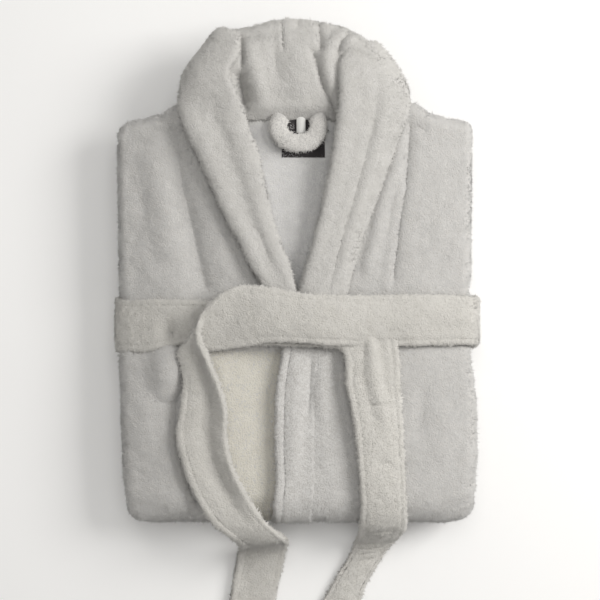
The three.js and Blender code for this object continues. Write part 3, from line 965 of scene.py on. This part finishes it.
def sash_faces(points, normals):
    """Where the sash has pile: on top, on the outer face at the bundle's sides, and thinner on both faces of
    the free ends. None where it passes under the bundle."""
    x, y, z = points.T
    up = smooth((normals[:, 2] + 0.3) / 0.3)
    sides = smooth((np.abs(x) - 168) / 8) * (np.sign(x) * normals[:, 0] > -0.2) * (y > -60)
    free = 0.8 * smooth((-205 - y) / 8)
    return np.where((z < 8) & (y > -120), 0.0, np.maximum(np.maximum(up, free), sides))


def strap_dent(m):
    """The strap dips beside the hanging end that crosses it."""
    front = m[..., 2] > 40
    m[..., 2] -= mound(m[..., 0], m[..., 1], -128, -12, 9, 13, 8.0) * front


def sash_end_painted_highlight(points):
    """Painted highlight: the left-hand sash end, on +X, gets paler yarn below the strap, for the light it
    catches.
    """
    return 2.5 * smooth((-35 - points[:, 1]) / 30) * (points[:, 0] > 0)


def sash_half(name, rows, crown, seed, nodes, shape=None):
    """Half of the sash, which bends round the skirt fold at x where its free end lifts."""
    m, half = ribbon(rows, SASH_THICK, 1.5, crown, rim=5)
    if shape is not None:
        shape(m)
    piece = cloth(name, m, half, 0.95, seed)
    piece.data.materials.append(SASH)
    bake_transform(piece)
    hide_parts(*nodes)
    for tufts in nap(piece, DENSITY, 3.9, seed + 100, SASH_YARNS, weight=sash_faces, pale=sash_end_painted_highlight):
        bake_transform(tufts)


sash_half(
    "sash_over", SASH_OVER, over_crown, 107,
    ["sash_band", "right_sash_run", "right_sash_end"],
)
sash_half(
    "sash_under", SASH_UNDER, under_crown, 113,
    ["left_sash_run", "left_sash_end"], strap_dent,
)


# ---- hanger loop, labels, carriers
def tube(name, path, rx, rz, amount, seed):
    """A flattened tube of cloth along a path, rx wide and rz high from its centre, rounded shut."""
    around = 28
    t, length = even_steps(path, 1.2)
    p = spline(path, t)
    along = unit(np.gradient(p, axis=0))
    side = unit(np.cross(along, (0.0, 0.0, 1.0)))
    lift = np.cross(side, along)
    run = np.linspace(0, length, len(t))
    near_end = np.clip(np.minimum(run, length - run) / rz, 0, 1)
    cap = np.sqrt(np.clip(1 - (1 - near_end) ** 2, 0.02, 1))[:, None, None]
    a = np.linspace(0, 2 * math.pi, around, endpoint=False)[None, :, None]
    ring = p[:, None] + cap * (side[:, None] * (rx * np.cos(a)) + lift[:, None] * (rz * np.sin(a)))
    index = np.arange(len(t) * around).reshape(len(t), around)
    following = np.roll(index, -1, axis=1)
    faces = [np.stack([index[:-1], index[1:], following[1:], following[:-1]], axis=-1).reshape(-1, 4)]
    for row, turned in ((index[0], False), (index[-1], True)):
        for k in range(around // 2 - 1):
            quad = [row[k], row[(around - 1 - k) % around], row[(around - 2 - k) % around], row[k + 1]]
            faces.append([quad if turned else quad[::-1]])
    faces = np.vstack(faces)
    return make_mesh(name, plush(ring.reshape(-1, 3), faces, amount, seed), faces)


LOOP_PATH = [(-15, 209.5, 63.6), (-18, 203, 65.4), (-18.5, 192, 67.5), (-11, 183, 68.5), (1.5, 180, 69),
             (14, 183, 68.5), (21, 192, 67.5), (21, 203, 65.4), (18, 209.5, 63.6)]
hanger = tube("loop_terry", LOOP_PATH, rx=8.6, rz=4.4, amount=0.8, seed=127)
add_piece(hanger, TERRY, "hanger_loop", "hanger_loop")


def thin_piece(name, x, y, z, half):
    """A smooth thin sheet, without the lumps of terry."""
    verts, faces = shell(np.stack([x, y, z], axis=-1), half)
    return make_mesh(name, verts, faces)


def neck_label():
    """The woven label, a little wavy, with its lower +X corner lifted."""
    x, y, half = slab_grid(-15.5, 28.0, 166.5, 206.0, 0.45, 1.0, 3)
    z = 59.2 + 0.9 * smooth((x - 8) / 20) * smooth((190 - y) / 24) + 0.25 * np.sin(x / 6)
    return thin_piece("neck_label_satin", x, y, z, half)


add_piece(neck_label(), LABEL, "robe", "neck_label", slot="label_satin")


def small_tape(name, node_name, x0, x1, y0, y1, *, z, bend):
    """A piece of tape at height z that bulges upwards by bend."""
    x, y, half = slab_grid(x0, x1, y0, y1, 0.4, 0.8, 3)
    piece = thin_piece(name, x, y, z + bend * np.sin(math.pi * (x - x0) / (x1 - x0)), half)
    add_piece(piece, TAPE, "robe", node_name, slot="white_tape")


small_tape("size_tab_tape", "size_tab", -0.5, 8.5, 191, 207, z=60.8, bend=1.6)
small_tape("care_label_tape", "care_label", -15, 15, -60, -10, z=35.4, bend=0.0)
for side, sign in (("left", 1), ("right", -1)):
    x = sign * 58
    box = (x - 5, x + 5, -171, -167, 19, 31)
    carrier = flat_slab(f"{side}_carrier_cloth", *box, step=0.8, amount=0.1, seed=131 + sign)
    add_piece(carrier, TERRY, "robe", f"{side}_belt_carrier")


# ---- pile on the cloth
def outside(points, normals):
    """Thick on the front and sides, thin underneath, none on faces that look into the bundle."""
    x, y, z = points.T
    outward = smooth((np.sum((points - (0, 0, FOLD_R)) * normals * (1, 1, 3), axis=1) + 8) / 10)
    hidden = (z > 14) & (z < 44) & (np.abs(x) < 150) & (y > -150)
    under = 1 - 0.75 * smooth((-normals[:, 2] - 0.4) / 0.3)
    return outward * under * ~hidden


def neck_only(points, normals):
    """Only the part of the back that shows in the neck opening."""
    x, y, _ = points.T
    wide = 16 + 40 * smooth((y - 20) / 160)
    shown = smooth((wide - np.abs(x)) / 6) * smooth((201 - y) / 4)
    return facing_up(points, normals) * shown * (y > 10)


def clear_of_loop(points, normals):
    """None on the seam that the lifted hanger loop stands against."""
    seam = (points[:, 1] < 213) & (np.abs(points[:, 0] - 1.5) < 32)
    return facing_up(points, normals) * ~seam


def loop_faces(points, normals):
    """Thinner under the loop, and none where it is sewn into the seam."""
    up = facing_up(points, normals)
    return up * smooth((207 - points[:, 1]) / 4) + 0.35 * (1 - up) * smooth((200 - points[:, 1]) / 4)


def outside_not_strip(points, normals):
    """Also thinner on the strip between the sash ends."""
    return outside(points, normals) * (1 - 0.9 * warm_strip(points))


def lapel_painted_highlight(points):
    """Painted highlight: the right lapel's tufts take slightly paler yarn, for the light on its proud roll.
    """
    return np.full(len(points), 0.35)


def overlap_painted_highlight(points):
    """Painted highlight: the overlapping front has paler yarn along its raised edge, below the strap."""
    return 3.8 * smooth((70 - points[:, 0]) / 62) * smooth((-20 - points[:, 1]) / 12) * (points[:, 2] > 30)


grow_pile(right_front, "robe", 3.9, 201, FRONT_YARNS, weight=outside_not_strip)
grow_pile(left_front, "robe", 3.9, 211, FRONT_YARNS, weight=outside, pale=overlap_painted_highlight)
grow_pile(back, "robe", 2.2, 221, BACK_YARNS, density=0.75, weight=neck_only)
grow_pile(right_collar, "robe", 4.2, 231, COLLAR_YARNS, pale=lapel_painted_highlight)
grow_pile(left_collar, "robe", 4.2, 241, COLLAR_YARNS)
grow_pile(dome, "robe", 4.0, 251, COLLAR_YARNS, weight=clear_of_loop)
grow_pile(overlap_band, "robe", 3.7, 261, FRONT_YARNS, weight=outside, pale=overlap_painted_highlight)
grow_pile(hanger, "hanger_loop", 3.8, 271, LOOP_YARNS, density=0.8, weight=loop_faces)

# ---- floor, lights, camera
world = bpy.data.worlds.new("studio")
bpy.context.scene.world = world
world.use_nodes = True
sky = world.node_tree.nodes["Background"]
sky.inputs["Color"].default_value = (1.0, 0.985, 0.955, 1)
sky.inputs["Strength"].default_value = 0.45

floor_material, floor_shader = new_material("floor", 0.9, 0.5, 0.0, 0.5)
floor_shader.inputs["Base Color"].default_value = (0.97, 0.97, 0.97, 1)
bpy.ops.mesh.primitive_plane_add(size=14, location=(0, 0, 0))
floor = bpy.context.object
floor.name = "floor"
floor.data.materials.append(floor_material)


def softbox(name, place, size, power, color):
    """A square soft light that faces the robe."""
    light = bpy.data.lights.new(name, "AREA")
    light.size = size
    light.energy = power
    light.color = color
    obj = bpy.data.objects.new(name, light)
    bpy.context.scene.collection.objects.link(obj)
    obj.location = place
    direction = Vector((0, 0, 0.05)) - Vector(place)
    obj.rotation_euler = direction.to_track_quat("-Z", "Y").to_euler()


softbox("key", (1.3, 0.5, 1.05), 0.8, 20, (1.0, 0.985, 0.96))
softbox("fill", (0.1, 0.9, 2.4), 1.6, 13, (1.0, 0.995, 0.98))

# The camera looks straight down. The picture is PICTURE_WIDTH wide at the height of the front's nap.
PICTURE_WIDTH = 0.6
NAP_HEIGHT = 0.070
camera_data = bpy.data.cameras.new("camera")
camera_data.sensor_width = 36
camera_data.lens = 92
camera = bpy.data.objects.new("camera", camera_data)
bpy.context.scene.collection.objects.link(camera)
distance = PICTURE_WIDTH * camera_data.lens / camera_data.sensor_width
camera.location = (0.003, 0.023, NAP_HEIGHT + distance)
bpy.context.scene.camera = camera
bpy.context.scene.view_settings.view_transform = "Standard"
